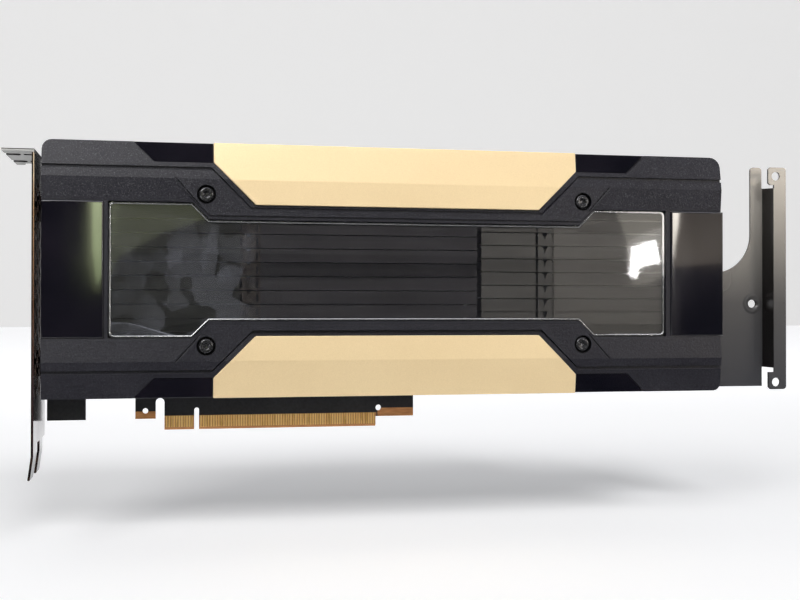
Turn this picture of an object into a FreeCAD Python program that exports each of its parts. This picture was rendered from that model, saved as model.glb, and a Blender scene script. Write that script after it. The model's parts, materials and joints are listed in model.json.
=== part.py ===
import FreeCAD, Part
import Sketcher
import math
import os
import re
from FreeCAD import Vector, Placement, Rotation

# Passive dual-slot accelerator card, standing on its long edge.
# +X runs from the slot bracket to the tail, -Y is the shroud side, +Z is up.
# The origin is the centre of the key notch of the edge connector, at the
# lower edge of the contacts and the middle of the board's thickness.

doc = FreeCAD.newDocument("AcceleratorCard")
sheet = doc.addObject("Spreadsheet::Sheet", "Dims")

DIMS = [
    # circuit board
    ("board_thick", 1.57), ("board_left", -57.5), ("board_right", 207.0),
    ("board_top", 109.2), ("board_low", 13.0),
    ("edge_left", -12.6), ("edge_right", 72.6), ("notch_half", 0.95),
    ("notch_top", 7.75), ("gap_left", -16.0), ("gap_top", 10.95),
    ("tab_left", -23.9), ("tab_low", 4.5), ("heel_right", -42.9),
    ("heel_low", 4.4), ("tail_tab_right", 88.4), ("tail_tab_low", 4.0),
    ("contact_pitch", 1.0), ("contact_wide", 0.7), ("contact_top", 5.5),
    ("contact_low", 1.0), ("contact_skin", 0.06),
    # slot bracket
    ("bracket_face", -58.7), ("bracket_gauge", 0.9), ("bracket_near", -35.1),
    ("bracket_far", 3.1), ("bracket_top", 105.97), ("bracket_tip", -14.05),
    ("bracket_foot", -1.5), ("bracket_lip", 11.43), ("ledge_over", 5.0),
    ("tongue_wide", 10.2),
    ("slot_pitch", 20.32), ("vent_pitch", 7.2), ("vent_across", 5.0),
    ("seat_ear_low", 27.0), ("seat_ear_high", 87.0), ("seat_ear_half", 5.0),
    # shroud
    ("shroud_left", -56.4), ("shroud_right", 209.5), ("shroud_low", 15.0),
    ("shroud_high", 110.0), ("mid_x", 76.4), ("mid_z", 62.5),
    ("wall", 1.8), ("front_inner", -31.4), ("front_ridge", -34.7),
    ("front_window", -33.8), ("front_groove", -34.1), ("front_edge", -32.4),
    ("groove_out", 37.8), ("groove_in", 23.1), ("groove_lead", 0.6),
    ("groove_half", 0.6), ("ridge_out", 34.0), ("window_half", 109.3),
    ("window_tall", 25.3), ("window_slim", 19.0), ("window_bend", 78.8),
    ("lug_end", 86.1), ("bezel", 1.5), ("corner", 3.6),
    # gold panels and gloss inlays
    ("gold_half", 71.0), ("gold_in", 24.6), ("gold_shoulder", 40.2),
    ("gold_crease", 33.8), ("gold_front", -34.9), ("gold_top_front", -33.2),
    ("gold_floor", -32.2), ("gold_return", -24.0), ("gold_skin", 0.8),
    ("inlay_in", 40.1), ("inlay_gap", 0.4), ("inlay_long", 28.9),
    ("inlay_long_in", 21.3), ("inlay_floor", -32.0),
    ("plate_front", -34.5), ("plate_floor", -32.9), ("plate_left_end", -34.4),
    ("plate_right_start", 187.6), ("plate_right_end", 210.3),
    ("plate_tall", 25.1),
    ("screw_x", 73.7), ("screw_z", 28.25), ("screw_recess", 3.5),
    ("screw_seat", -33.1), ("screw_head", 2.8), ("screw_shank", 1.5),
    # cooler
    ("base_rear", -6.0), ("base_front", -9.5), ("base_left", -33.4),
    ("base_right", 185.0), ("base_low", 17.5), ("base_high", 108.0),
    ("fin_gauge", 0.4), ("fin_gap", 0.35), ("fin_pitch_a", 5.3),
    ("fin_pitch_b", 5.22), ("fin_low_a", 18.0), ("fin_low_b", 20.94),
    ("fins_a_right", 107.6), ("fins_b_left", 109.3),
    # processor
    ("gpu_x", 72.0), ("gpu_z", 62.0), ("substrate", 50.0),
    ("substrate_thick", 1.8), ("die_thick", 0.8),
    # backplate and tail bracket
    ("plate_gap", 1.6), ("plate_gauge", 0.8), ("rear_left", -46.0),
    ("rear_right", 189.0), ("rear_low", 15.5), ("rear_high", 108.5),
    ("arm_gauge", 1.0), ("arm_left", 192.0), ("arm_low", 14.2),
    ("arm_ledge", 64.3), ("arm_high", 110.9), ("upright_left", 241.15),
    ("upright_right", 246.6), ("arc_centre_x", 224.3), ("arc_radius", 16.85),
    ("step_left", 246.9), ("step_rise", 0.8), ("flange_front", -9.0),
    ("flange_right", 252.8),
    ("flange_low", 22.7), ("flange_high", 100.9), ("ear_left", 244.4),
    ("ear_low", 13.4), ("ear_high", 109.9), ("ear_hole", 1.9),
    ("ear_hole_x", 248.0), ("ear_hole_low", 16.5), ("ear_hole_high", 106.1),
]
NUM = {}
for i, (alias, value) in enumerate(DIMS):
    cell = "B%d" % (i + 1)
    sheet.set("A%d" % (i + 1), alias.replace("_", " "))
    sheet.set(cell, repr(value))
    sheet.setAlias(cell, alias)
    NUM[alias] = value
doc.recompute()
for alias in NUM:
    NUM[alias] = float(getattr(sheet, alias))

WORD = re.compile(r"[a-z][a-z_]*")
FUNCS = ("sqrt", "tan", "cos", "sin")


def val(e):
    """Value of a length given as a number or as + - * / terms of the sheet."""
    if not isinstance(e, str):
        return float(e)
    total, sign = 0.0, 1.0
    for piece in re.findall(r"[+-]|[^+\-]+", e.replace(" ", "")):
        if piece == "+":
            continue
        if piece == "-":
            sign = -sign
            continue
        term, op = 1.0, "*"
        for token in re.findall(r"[*/]|[^*/]+", piece):
            if token in "*/":
                op = token
            else:
                n = NUM[token] if token in NUM else float(token)
                term = term * n if op == "*" else term / n
        total += sign * term
        sign = 1.0
    return total


def bind(obj, prop, e):
    """Bind a property to the sheet when its length names one of its cells."""
    if isinstance(e, str) and WORD.search(e):
        obj.setExpression(prop, WORD.sub(lambda m: "Dims." + m.group(0), e))


def origin(body, role):
    return [f for f in body.Origin.OriginFeatures if f.Role == role][0]


def body(name, x=0, y=0, z=0):
    b = doc.addObject("PartDesign::Body", name)
    b.Label = name
    b.Placement = Placement(Vector(val(x), val(y), val(z)), Rotation())
    for axis, e in (("x", x), ("y", y), ("z", z)):
        bind(b, "Placement.Base." + axis, e)
    return b


def sketch(b, role, loops=(), circles=(), offset=0):
    """Sketch of closed polygons and circles; each corner has two dimensions."""
    sk = b.newObject("Sketcher::SketchObject", b.Name + "_sketch")
    sk.AttachmentSupport = (origin(b, role), [""])
    sk.MapMode = "FlatFace"
    sk.AttachmentOffset = Placement(Vector(0, 0, val(offset)), Rotation())
    bind(sk, "AttachmentOffset.Base.z", offset)
    first = 0
    for pts in loops:
        xy = [(val(a), val(c)) for a, c in pts]
        n = len(xy)
        lines = [Part.LineSegment(Vector(*xy[i], 0), Vector(*xy[(i + 1) % n], 0))
                 for i in range(n)]
        sk.addGeometry(lines, False)
        cons = [Sketcher.Constraint("Coincident", first + i, 2, first + (i + 1) % n, 1)
                for i in range(n)]
        sk.addConstraint(cons)
        for i in range(n):
            for kind, e, v in (("DistanceX", pts[i][0], xy[i][0]),
                               ("DistanceY", pts[i][1], xy[i][1])):
                c = sk.addConstraint(Sketcher.Constraint(kind, -1, 1, first + i, 1, v))
                bind(sk, "Constraints[%d]" % c, e)
        first += n
    for cx, cy, r in circles:
        sk.addGeometry(Part.Circle(Vector(val(cx), val(cy), 0), Vector(0, 0, 1), val(r)), False)
        for kind, e in (("DistanceX", cx), ("DistanceY", cy)):
            c = sk.addConstraint(Sketcher.Constraint(kind, -1, 1, first, 3, val(e)))
            bind(sk, "Constraints[%d]" % c, e)
        c = sk.addConstraint(Sketcher.Constraint("Radius", first, val(r)))
        bind(sk, "Constraints[%d]" % c, r)
        first += 1
    return sk


def pad(b, sk, length, back=False, mid=False):
    f = b.newObject("PartDesign::Pad", b.Name + "_pad")
    f.Profile = sk
    f.Length = val(length)
    bind(f, "Length", length)
    f.Reversed = back
    if mid:
        f.SideType = "Symmetric"
    sk.Visibility = False
    return f


def pocket(b, sk, length, back=False, mid=False):
    f = b.newObject("PartDesign::Pocket", b.Name + "_pocket")
    f.Profile = sk
    f.Length = val(length)
    bind(f, "Length", length)
    f.Reversed = back
    if mid:
        f.SideType = "Symmetric"
    sk.Visibility = False
    return f


def pattern(b, features, role, pitch, count):
    f = b.newObject("PartDesign::LinearPattern", b.Name + "_pattern")
    f.Originals = features
    f.Direction = (origin(b, role), [""])
    f.Mode = "Spacing"
    f.Offset = val(pitch)
    bind(f, "Offset", pitch)
    f.Occurrences = count
    b.Tip = f
    return f


def rect(x0, z0, x1, z1):
    return [(x0, z0), (x1, z0), (x1, z1), (x0, z1)]


def sided(x, z, r, n=6):
    """Many-sided outline round a point, for hidden shanks, holes and heads."""
    turn = math.pi / n
    return [("%s%+.4f" % (x, val(r) * math.cos(2 * math.pi * j / n + turn)),
             "%s%+.4f" % (z, val(r) * math.sin(2 * math.pi * j / n + turn))) for j in range(n)]


def edges_at(shape, test):
    """Names of the edges both of whose ends pass a test."""
    out = []
    for i, e in enumerate(shape.Edges):
        if len(e.Vertexes) == 2 and all(test(v.Point) for v in e.Vertexes):
            out.append("Edge%d" % (i + 1))
    return out


def fillet(b, test, radius):
    doc.recompute()
    base = b.Tip
    names = edges_at(base.Shape, test)
    if not names:
        raise RuntimeError("no edge to round on " + b.Name)
    f = b.newObject("PartDesign::Fillet", b.Name + "_fillet")
    f.Base = (base, names)
    f.Radius = val(radius)
    bind(f, "Radius", radius)
    return f


def chamfer(b, test, size):
    doc.recompute()
    base = b.Tip
    names = edges_at(base.Shape, test)
    if not names:
        raise RuntimeError("no edge to bevel on " + b.Name)
    f = b.newObject("PartDesign::Chamfer", b.Name + "_chamfer")
    f.Base = (base, names)
    f.Size = val(size)
    bind(f, "Size", size)
    return f


def near(a, c, tol=0.02):
    return abs(a - val(c)) < tol


def group(name, members):
    g = doc.addObject("Part::Compound", name)
    g.Label = name
    g.Links = members
    g.Placement = Placement()
    NODES.append(g)
    return g


def cut(name, base, tools):
    if len(tools) > 1:
        t = doc.addObject("Part::MultiFuse", name + "_tools")
        t.Shapes = tools
    else:
        t = tools[0]
    c = doc.addObject("Part::Cut", name)
    c.Label = name
    c.Base = base
    c.Tool = t
    c.Placement = Placement()
    return c


def cylinder(name, x, z, r, y_front, y_rear):
    """Cylinder along Y between two depths."""
    c = doc.addObject("Part::Cylinder", name)
    c.Radius = val(r)
    bind(c, "Radius", r)
    c.Height = val(y_rear) - val(y_front)
    c.Placement = Placement(Vector(val(x), val(y_rear), val(z)),
                            Rotation(Vector(1, 0, 0), 90))
    bind(c, "Placement.Base.x", x)
    bind(c, "Placement.Base.z", z)
    return c


def box(name, x0, y0, z0, dx, dy, dz):
    c = doc.addObject("Part::Box", name)
    for prop, e in (("Length", dx), ("Width", dy), ("Height", dz)):
        setattr(c, prop, val(e))
        bind(c, prop, e)
    c.Placement = Placement(Vector(val(x0), val(y0), val(z0)), Rotation())
    for axis, e in (("x", x0), ("y", y0), ("z", z0)):
        bind(c, "Placement.Base." + axis, e)
    return c


NODES = []

# Positions shared by the board, the plate behind it and the cooler's bosses
BOSSES = [(-27.0, 24.0), (-27.0, 101.0), (60.0, 24.0), (60.0, 101.0),
          (176.0, 24.0), (176.0, 101.0)]
SPRINGS = [("gpu_x-30", "gpu_z-30"), ("gpu_x+30", "gpu_z-30"),
           ("gpu_x-30", "gpu_z+30"), ("gpu_x+30", "gpu_z+30")]
TAIL = [("arm_left+6.5", "arm_low+7.8"), ("arm_left+6.5", "arm_ledge-6.3")]
EARS = [("bracket_face+6.2", "seat_ear_low"), ("bracket_face+6.2", "seat_ear_high")]

# Circuit board: outline with heel, holed tab, key notch and tail tab
pcb = body("pcb", y="board_thick/2")
outline = [("board_left", "board_top"), ("board_right", "board_top"),
           ("board_right", "board_low"), ("tail_tab_right", "board_low"),
           ("tail_tab_right", "tail_tab_low"), ("edge_right", "tail_tab_low"),
           ("edge_right", 0), ("notch_half", 0), ("notch_half", "notch_top"),
           ("0-notch_half", "notch_top"), ("0-notch_half", 0), ("edge_left", 0),
           ("edge_left", "gap_top"), ("gap_left", "gap_top"),
           ("gap_left", "tab_low"), ("tab_left", "tab_low"),
           ("tab_left", "board_low"), ("heel_right", "board_low"),
           ("heel_right", "heel_low"), ("board_left", "heel_low")]
pad(pcb, sketch(pcb, "XZ_Plane", [outline]), "board_thick")
holes = [(0, "notch_top", "notch_half"),
         ("edge_left/2+gap_left/2", "gap_top", 1.7),
         (-20.0, 7.6, 1.1), (73.8, 7.5, 1.2)]
pocket(pcb, sketch(pcb, "XZ_Plane", [sided(x, z, 1.35) for x, z in BOSSES + SPRINGS + TAIL + EARS],
                   circles=holes, offset=-1), 10, mid=True)
bevel = [[("0-board_thick", 0), ("0-board_thick", "contact_low"), ("0.38-board_thick", 0)],
         [(0, 0), (-0.38, 0), (0, "contact_low")]]
pocket(pcb, sketch(pcb, "YZ_Plane", bevel), 500, mid=True)
NODES.append(pcb)

# Edge contacts, 11 before the key notch and 71 after it on each face
for name, y in (("edge_contacts_front", "0-board_thick/2"),
                ("edge_contacts_rear", "board_thick/2+contact_skin")):
    short = body(name + "_short", y=y)
    f = pad(short, sketch(short, "XZ_Plane", [rect("edge_left+0.475", "contact_low",
            "edge_left+0.475+contact_wide", "contact_top")]), "contact_skin")
    pattern(short, [f], "X_Axis", "contact_pitch", 11)
    long = body(name + "_long", y=y)
    f = pad(long, sketch(long, "XZ_Plane", [rect("notch_half+0.475", "contact_low",
            "notch_half+0.475+contact_wide", "contact_top")]), "contact_skin")
    pattern(long, [f], "X_Axis", "contact_pitch", 71)
    group(name, [short, long])

# Slot bracket: vented plate, notched lip, two tongues bent outward, two ears
bracket = body("io_bracket", x="bracket_face")
pad(bracket, sketch(bracket, "YZ_Plane", [rect("bracket_near", "bracket_foot",
    "bracket_far", "bracket_top")]), "bracket_gauge", back=True)
lip = [(0, "bracket_near"), (0, "bracket_far"), (-7.4, "bracket_far"),
       (-8.2, "bracket_far+ledge_over"), ("0-bracket_lip", "bracket_far+ledge_over"),
       ("0-bracket_lip", "slot_pitch-22.3"), (-7.0, "slot_pitch-21.5"),
       (-6.0, "slot_pitch-23.0"), (-6.0, "slot_pitch-25.6"),
       (-7.0, "slot_pitch-26.7"), ("0-bracket_lip", "slot_pitch-26.7"),
       ("0-bracket_lip", -22.3), (-7.0, -21.5), (-6.0, -23.0), (-6.0, -25.6),
       (-7.0, -26.7), ("0-bracket_lip", -26.7), ("0-bracket_lip", "bracket_near")]
pad(bracket, sketch(bracket, "XY_Plane", [lip], offset="bracket_top"),
    "bracket_gauge", back=True)
pocket(bracket, sketch(bracket, "XY_Plane", [rect(-4.9, -26.2, -2.1, -22.6),
       rect(-4.9, "slot_pitch-26.2", -2.1, "slot_pitch-22.6")],
       offset="bracket_top+1"), 3)
tongue = [(0, "bracket_foot+1"), (0, -5.3), (-1.2, "bracket_tip"),
          ("-1.2-bracket_gauge", "bracket_tip"), ("0-bracket_gauge", -5.3),
          ("0-bracket_gauge", "bracket_foot+1")]
for offset in ("0-bracket_near", "0-bracket_near-slot_pitch"):
    pad(bracket, sketch(bracket, "XZ_Plane", [tongue], offset=offset),
        "tongue_wide", back=True)
pad(bracket, sketch(bracket, "XZ_Plane", [rect(-0.4, "%s-seat_ear_half" % z, 9, "%s+seat_ear_half" % z) for x, z in EARS],
    offset="board_thick/2"), "bracket_gauge")
pocket(bracket, sketch(bracket, "XZ_Plane",
       [sided("%s-bracket_face" % x, z, 1.3) for x, z in EARS]), 10, mid=True)
h = NUM["vent_across"] / 2
k = h / math.cos(math.radians(30))
hexes = []
for i in range(4):
    cy = -29.3 + i * NUM["vent_pitch"] * math.cos(math.radians(30))
    cz = 18.0 + (NUM["vent_pitch"] / 2 if i % 2 else 0.0)
    hexes.append([(round(cy + k * math.cos(math.radians(60 * j)), 4),
                   round(cz + k * math.sin(math.radians(60 * j)), 4)) for j in range(6)])
f = pocket(bracket, sketch(bracket, "YZ_Plane", hexes), 10, mid=True)
pattern(bracket, [f], "Z_Axis", "vent_pitch", 11)
chamfer(bracket, lambda p: near(p.z, "bracket_tip"), 0.25)
NODES.append(bracket)


def mirror(pts, side):
    """Points given from the middle of the front, for the upper or lower half."""
    s = "+" if side > 0 else "-"
    return [("mid_x" + a, "mid_z" + s + b) for a, b in pts]


# Shroud: channel with sloping front facets along the board
shroud = body("shroud", x="shroud_left")
prof = [("0-board_thick/2", "shroud_high"), ("front_edge", "shroud_high"),
        ("front_groove", "mid_z+groove_out"), ("front_ridge", "mid_z+ridge_out"),
        ("front_window", "mid_z+window_tall"), ("front_window", "mid_z-window_tall"),
        ("front_ridge", "mid_z-ridge_out"), ("front_groove", "mid_z-groove_out"),
        ("front_edge", "shroud_low"), ("0-board_thick/2", "shroud_low"),
        ("0-board_thick/2", "shroud_low+wall"), ("front_inner", "shroud_low+wall"),
        ("front_inner", "shroud_high-wall"), ("0-board_thick/2", "shroud_high-wall")]
pad(shroud, sketch(shroud, "YZ_Plane", [prof]), "shroud_right-shroud_left")


def sx(pts):
    """The same points from the shroud's own left end."""
    return [("%s-shroud_left" % a, c) for a, c in pts]


# rounded corners of the outline: upper left, upper right, lower right
rounds = []
for end, up, r in ((0, 1, NUM["corner"]), (1, 1, NUM["corner"] + 0.6), (1, 0, 2.6)):
    s, o = ("+", "-") if up else ("-", "+")
    zc = "shroud_high" if up else "shroud_low"
    arc = [(r - r * math.cos(math.radians(t)), r - r * math.sin(math.radians(t)))
           for t in (0, 18, 36, 54, 72, 90)]
    x_of = (lambda v: round(v, 4)) if end == 0 else (
        lambda v: "shroud_right-shroud_left%+.4f" % -v)
    rounds.append([(x_of(-1.0), zc + s + "1"), (x_of(-1.0), "%s%s%.4f" % (zc, o, r))]
                  + [(x_of(u), "%s%s%.4f" % (zc, o, w)) for u, w in arc]
                  + [(x_of(r), zc + s + "1")])
pocket(shroud, sketch(shroud, "XZ_Plane", rounds, offset=-1), 100, mid=True)


for side in (1, -1):
    lug = [("-lug_end", "ridge_out"), ("-gold_half-groove_lead+groove_out-ridge_out", "ridge_out"),
           ("-gold_half-groove_lead+groove_out-groove_in", "groove_in"),
           ("+gold_half+groove_lead-groove_out+groove_in", "groove_in"),
           ("+gold_half+groove_lead-groove_out+ridge_out", "ridge_out"), ("+lug_end", "ridge_out"),
           ("+lug_end-ridge_out+window_slim+bezel", "window_slim+bezel"),
           ("-lug_end+ridge_out-window_slim-bezel", "window_slim+bezel")]
    if side < 0:
        lug = [(a, re.sub(r"\+", "-", c)) for a, c in lug]
    pad(shroud, sketch(shroud, "XZ_Plane", [sx(mirror(lug, side))],
        offset="0-front_window-0.5"), "front_window+0.5-front_ridge")
window = [("-window_half", "window_tall", 1), ("-window_bend", "window_tall", 1),
          ("-window_bend+window_tall-window_slim", "window_slim", 1),
          ("+window_bend-window_tall+window_slim", "window_slim", 1),
          ("+window_bend", "window_tall", 1), ("+window_half", "window_tall", 1),
          ("+window_half", "window_tall", -1), ("+window_bend", "window_tall", -1),
          ("+window_bend-window_tall+window_slim", "window_slim", -1),
          ("-window_bend+window_tall-window_slim", "window_slim", -1),
          ("-window_bend", "window_tall", -1), ("-window_half", "window_tall", -1)]


def window_loop(inset=0):
    """Outline of the opening, drawn in by a clearance on every side."""
    out = []
    for a, c, s in window:
        tight = 0.4142 * inset if "bend" in a else inset
        a2 = a + ("+%.4f" % tight if a.startswith("-") else "-%.4f" % tight)
        out.append(("mid_x" + a2, "mid_z%s%s%s%.4f" % ("+" if s > 0 else "-", c,
                    "-" if s > 0 else "+", inset)))
    return out


pocket(shroud, sketch(shroud, "XZ_Plane", [sx(window_loop())], offset=40), 20)
# shallow seats of the two gloss end plates
seats = [rect("0-1", "mid_z-plate_tall-0.1", "plate_left_end+0.1-shroud_left", "mid_z+plate_tall+0.1"),
         rect("plate_right_start-0.1-shroud_left", "mid_z-plate_tall-0.1",
              "shroud_right+1-shroud_left", "mid_z+plate_tall+0.1")]
pocket(shroud, sketch(shroud, "XZ_Plane", seats, offset=40), "40+plate_floor")
# decorative groove round the middle frame, upper and lower
for side in (1, -1):
    w = NUM["groove_half"] * 0.4142
    g = NUM["groove_half"]
    def band(sign):
        e = "%+.4f" % (sign * w)
        out = "groove_out%+.4f" % (sign * g)
        inn = "groove_in%+.4f" % (sign * g)
        return [("-200", out), ("-gold_half-groove_lead%s" % ("%+.4f" % (-sign * w)), out),
                ("-gold_half-groove_lead+groove_out-groove_in%s" % ("%+.4f" % (-sign * w)), inn),
                ("+gold_half+groove_lead-groove_out+groove_in%s" % ("%+.4f" % (sign * w)), inn),
                ("+gold_half+groove_lead%s" % ("%+.4f" % (sign * w)), out), ("+200", out)]
    # the band's two borders follow the same path half a width apart
    loop = band(-1) + band(1)[::-1]
    if side < 0:
        loop = [(a, c.replace("+", "#").replace("-", "+").replace("#", "-")) for a, c in loop]
    pts = sx(mirror(loop, side))
    pocket(shroud, sketch(shroud, "XZ_Plane", [pts], offset=40), "40-33.1")
# seats of the gold panels and of the four gloss inlays
for side in (1, -1):
    s = "+" if side > 0 else "-"
    o = "-" if side > 0 else "+"
    edge = "shroud_high+1" if side > 0 else "shroud_low-1"
    seat = [("mid_x-gold_half-0.1", edge), ("mid_x-gold_half-0.1", "mid_z%sgold_shoulder%s0.06" % (s, o)),
            ("mid_x-gold_half+gold_shoulder-gold_in-0.06", "mid_z%sgold_in%s0.1" % (s, o)),
            ("mid_x+gold_half-gold_shoulder+gold_in+0.06", "mid_z%sgold_in%s0.1" % (s, o)),
            ("mid_x+gold_half+0.1", "mid_z%sgold_shoulder%s0.06" % (s, o)), ("mid_x+gold_half+0.1", edge)]
    pocket(shroud, sketch(shroud, "XZ_Plane", [sx(seat)], offset=40), "40+gold_floor")
    wrap = rect("mid_x-gold_half-0.1-shroud_left", "gold_return+0.1",
                "mid_x+gold_half+0.1-shroud_left", -40)
    if side > 0:
        pocket(shroud, sketch(shroud, "XY_Plane", [wrap], offset="shroud_high+1"), "1+gold_skin")
    else:
        pocket(shroud, sketch(shroud, "XY_Plane", [wrap], offset="shroud_low-1"),
               "1+gold_skin", back=True)
    for t in (1, -1):
        p = "+" if t > 0 else "-"
        q = "-" if t > 0 else "+"
        near_x = "mid_x%sgold_half%sinlay_gap" % (p, p)
        seat = [("%s%s0.1" % (near_x, q), edge),
                ("%s%s0.1" % (near_x, q), "mid_z%sinlay_in%s0.1" % (s, o)),
                ("%s%sinlay_long_in%s0.05" % (near_x, p, p), "mid_z%sinlay_in%s0.1" % (s, o)),
                ("%s%sinlay_long%s1.15" % (near_x, p, p), edge)]
        pocket(shroud, sketch(shroud, "XZ_Plane", [sx(seat)], offset=40), "40+inlay_floor")
# screw seats and clearance holes
spots = [("mid_x%sscrew_x-shroud_left" % p, "mid_z%sscrew_z" % s)
         for p in "+-" for s in "+-"]
pocket(shroud, sketch(shroud, "XZ_Plane",
       circles=[(a, c, "screw_recess") for a, c in spots], offset=40), "40+screw_seat")
pocket(shroud, sketch(shroud, "XZ_Plane",
       [sided(a, c, "screw_shank+0.1") for a, c in spots], offset=40), 10)
doc.recompute()
NODES.append(shroud)

# Gold panels: flat inner part, crease, outer part sloping back, thin return
for side, name in ((1, "gold_panel_upper"), (-1, "gold_panel_lower")):
    s = "+" if side > 0 else "-"
    o = "-" if side > 0 else "+"
    rim = "shroud_high+0.2" if side > 0 else "shroud_low-0.2"
    skin = "shroud_high-gold_skin" if side > 0 else "shroud_low+gold_skin"
    b = body(name, x="mid_x-gold_half")
    section = [("gold_front", "mid_z%sgold_in" % s), ("gold_front", "mid_z%sgold_crease" % s),
               ("gold_top_front", rim), ("gold_return", rim), ("gold_return", skin),
               ("gold_floor", skin), ("gold_floor", "mid_z%sgold_in" % s)]
    pad(b, sketch(b, "YZ_Plane", [section]), "2*gold_half")
    corners = [[(-1, "mid_z%sgold_in%s1" % (s, o)),
                ("gold_shoulder-gold_in+1", "mid_z%sgold_in%s1" % (s, o)),
                (-1, "mid_z%sgold_shoulder%s1" % (s, s))],
               [("2*gold_half+1", "mid_z%sgold_in%s1" % (s, o)),
                ("2*gold_half-gold_shoulder+gold_in-1", "mid_z%sgold_in%s1" % (s, o)),
                ("2*gold_half+1", "mid_z%sgold_shoulder%s1" % (s, s))]]
    pocket(b, sketch(b, "XZ_Plane", corners), 200, mid=True)
    NODES.append(b)

# Gloss inlays at the four outer corners of the gold panels
for side, high in ((1, "upper"), (-1, "lower")):
    for t, end in ((-1, "left"), (1, "right")):
        s = "+" if side > 0 else "-"
        o = "-" if side > 0 else "+"
        p = "+" if t > 0 else "-"
        q = "-" if t > 0 else "+"
        rim = "shroud_high-0.05" if side > 0 else "shroud_low+0.05"
        b = body("inlay_%s_%s" % (high, end), y="inlay_floor")
        near_x = "mid_x%sgold_half%sinlay_gap" % (p, p)
        loop = [("%s%sinlay_long%s0.2" % (near_x, p, q), rim), (near_x, rim),
                (near_x, "mid_z%sinlay_in" % s),
                ("%s%sinlay_long_in%s0.2" % (near_x, p, q), "mid_z%sinlay_in" % s)]
        pad(b, sketch(b, "XZ_Plane", [loop]), 1.5)
        slope = [("front_groove+0.75-inlay_floor", "mid_z%sinlay_in" % s),
                 ("front_edge+0.15-inlay_floor", rim),
                 ("front_edge+0.15-inlay_floor", rim + s + "1"), (-3, rim + s + "1"),
                 (-3, "mid_z%sinlay_in%s1" % (s, o)),
                 ("front_groove+0.75-inlay_floor", "mid_z%sinlay_in%s1" % (s, o))]
        pocket(b, sketch(b, "YZ_Plane", [slope]), 500, mid=True)
        NODES.append(b)

# Gloss plates closing the two ends of the front
for name, x0, x1 in (("end_plate_left", "shroud_left", "plate_left_end"),
                     ("end_plate_right", "plate_right_start", "plate_right_end")):
    b = body(name, y="plate_floor")
    pad(b, sketch(b, "XZ_Plane", [rect(x0, "mid_z-plate_tall", x1, "mid_z+plate_tall")]),
        "plate_floor-plate_front")
    front = NUM["plate_front"] - NUM["plate_floor"]
    fillet(b, lambda p: near(p.y, front), 0.6)
    NODES.append(b)

# Clear sheet lying on the fins inside the opening
b = body("window_sheet", y="front_inner")
pad(b, sketch(b, "XZ_Plane", [window_loop(0.12)]), 1.0)
doc.recompute()
ends = (NUM["mid_x"] - NUM["window_half"] + 0.12, NUM["mid_x"] + NUM["window_half"] - 0.12)
names = []
flat = b.Tip
for i, e in enumerate(flat.Shape.Edges):
    pts = [v.Point for v in e.Vertexes]
    if (abs(pts[0].x - pts[1].x) < 1e-6 and abs(pts[0].z - pts[1].z) < 1e-6
            and min(abs(pts[0].x - ends[0]), abs(pts[0].x - ends[1])) < 0.01):
        names.append("Edge%d" % (i + 1))
f = b.newObject("PartDesign::Fillet", "window_sheet_fillet")
f.Base = (flat, names)
f.Radius = 1.6
NODES.append(b)


def screw(name, x, y, z, head_r, head_h, shank_r, length):
    """Pan-head screw with a bevelled head and a hexagon socket, head to -Y."""
    b = body(name, x=x, y=y, z=z)
    hr = val(head_r)
    prof = [(0, -head_h), (hr - 0.5, -head_h), (head_r, 0.6 - head_h), (head_r, 0), (0, 0)]
    r = b.newObject("PartDesign::Revolution", name + "_turn")
    r.Profile = sketch(b, "XY_Plane", [prof])
    r.ReferenceAxis = (origin(b, "Y_Axis"), [""])
    r.Angle = 360
    pad(b, sketch(b, "XZ_Plane", [sided(0, 0, shank_r)], offset=0.4), length + 0.4, back=True)
    pocket(b, sketch(b, "XZ_Plane", [sided(0, 0, 1.25, 6)], offset=head_h), 0.8)
    return b


def hidden_screw(name, x, y, z, head_r, head_h, shank_r, length, front=False):
    """Screw of the covered side, many-sided so that it takes few faces."""
    b = body(name, x=x, y=y, z=z)
    pad(b, sketch(b, "XZ_Plane", [sided(0, 0, head_r, 12)]), head_h, back=not front)
    pad(b, sketch(b, "XZ_Plane", [sided(0, 0, shank_r)], offset=0.4 if front else -0.4),
        length + 0.4, back=front)
    return b


group("shroud_screws", [
    screw("shroud_screw_%d" % i, "mid_x%sscrew_x" % p, "screw_seat", "mid_z%sscrew_z" % s,
          "screw_head", 1.4, "screw_shank", 8.6)
    for i, (p, s) in enumerate((p, s) for p in "+-" for s in "+-")])

# Posts of the cooler that take the shroud's screws
b = body("shroud_posts", y="base_front")
posts = [("mid_x%sscrew_x" % p, "mid_z%sscrew_z" % s) for p in "+-" for s in "+-"]
pad(b, sketch(b, "XZ_Plane", [sided(a, c, 3.2, 6) for a, c in posts]), "base_front-front_inner")
pocket(b, sketch(b, "XZ_Plane", [sided(a, c, "screw_shank+0.05") for a, c in posts],
       offset="base_front-front_inner"), 8.0)
NODES.append(b)

# Cooler base: plate, pedestal over the processor and bosses to the board
b = body("cooler_base", y="base_rear")
pad(b, sketch(b, "XZ_Plane", [rect("base_left", "base_low", "base_right", "base_high")]),
    "base_rear-base_front")
pad(b, sketch(b, "XZ_Plane", [rect("gpu_x-25", "gpu_z-25", "gpu_x+25", "gpu_z+25")]),
    "0-base_rear-board_thick/2-substrate_thick-die_thick", back=True)
pad(b, sketch(b, "XZ_Plane", [rect("%s-3" % x, "%s-3" % z, "%s+3" % x, "%s+3" % z)
    for x, z in BOSSES + SPRINGS]), "0-base_rear-board_thick/2", back=True)
pocket(b, sketch(b, "XZ_Plane", [sided(x, z, 1.3) for x, z in BOSSES + SPRINGS],
       offset="base_rear+board_thick/2"), 4.5, back=True)
NODES.append(b)

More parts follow.
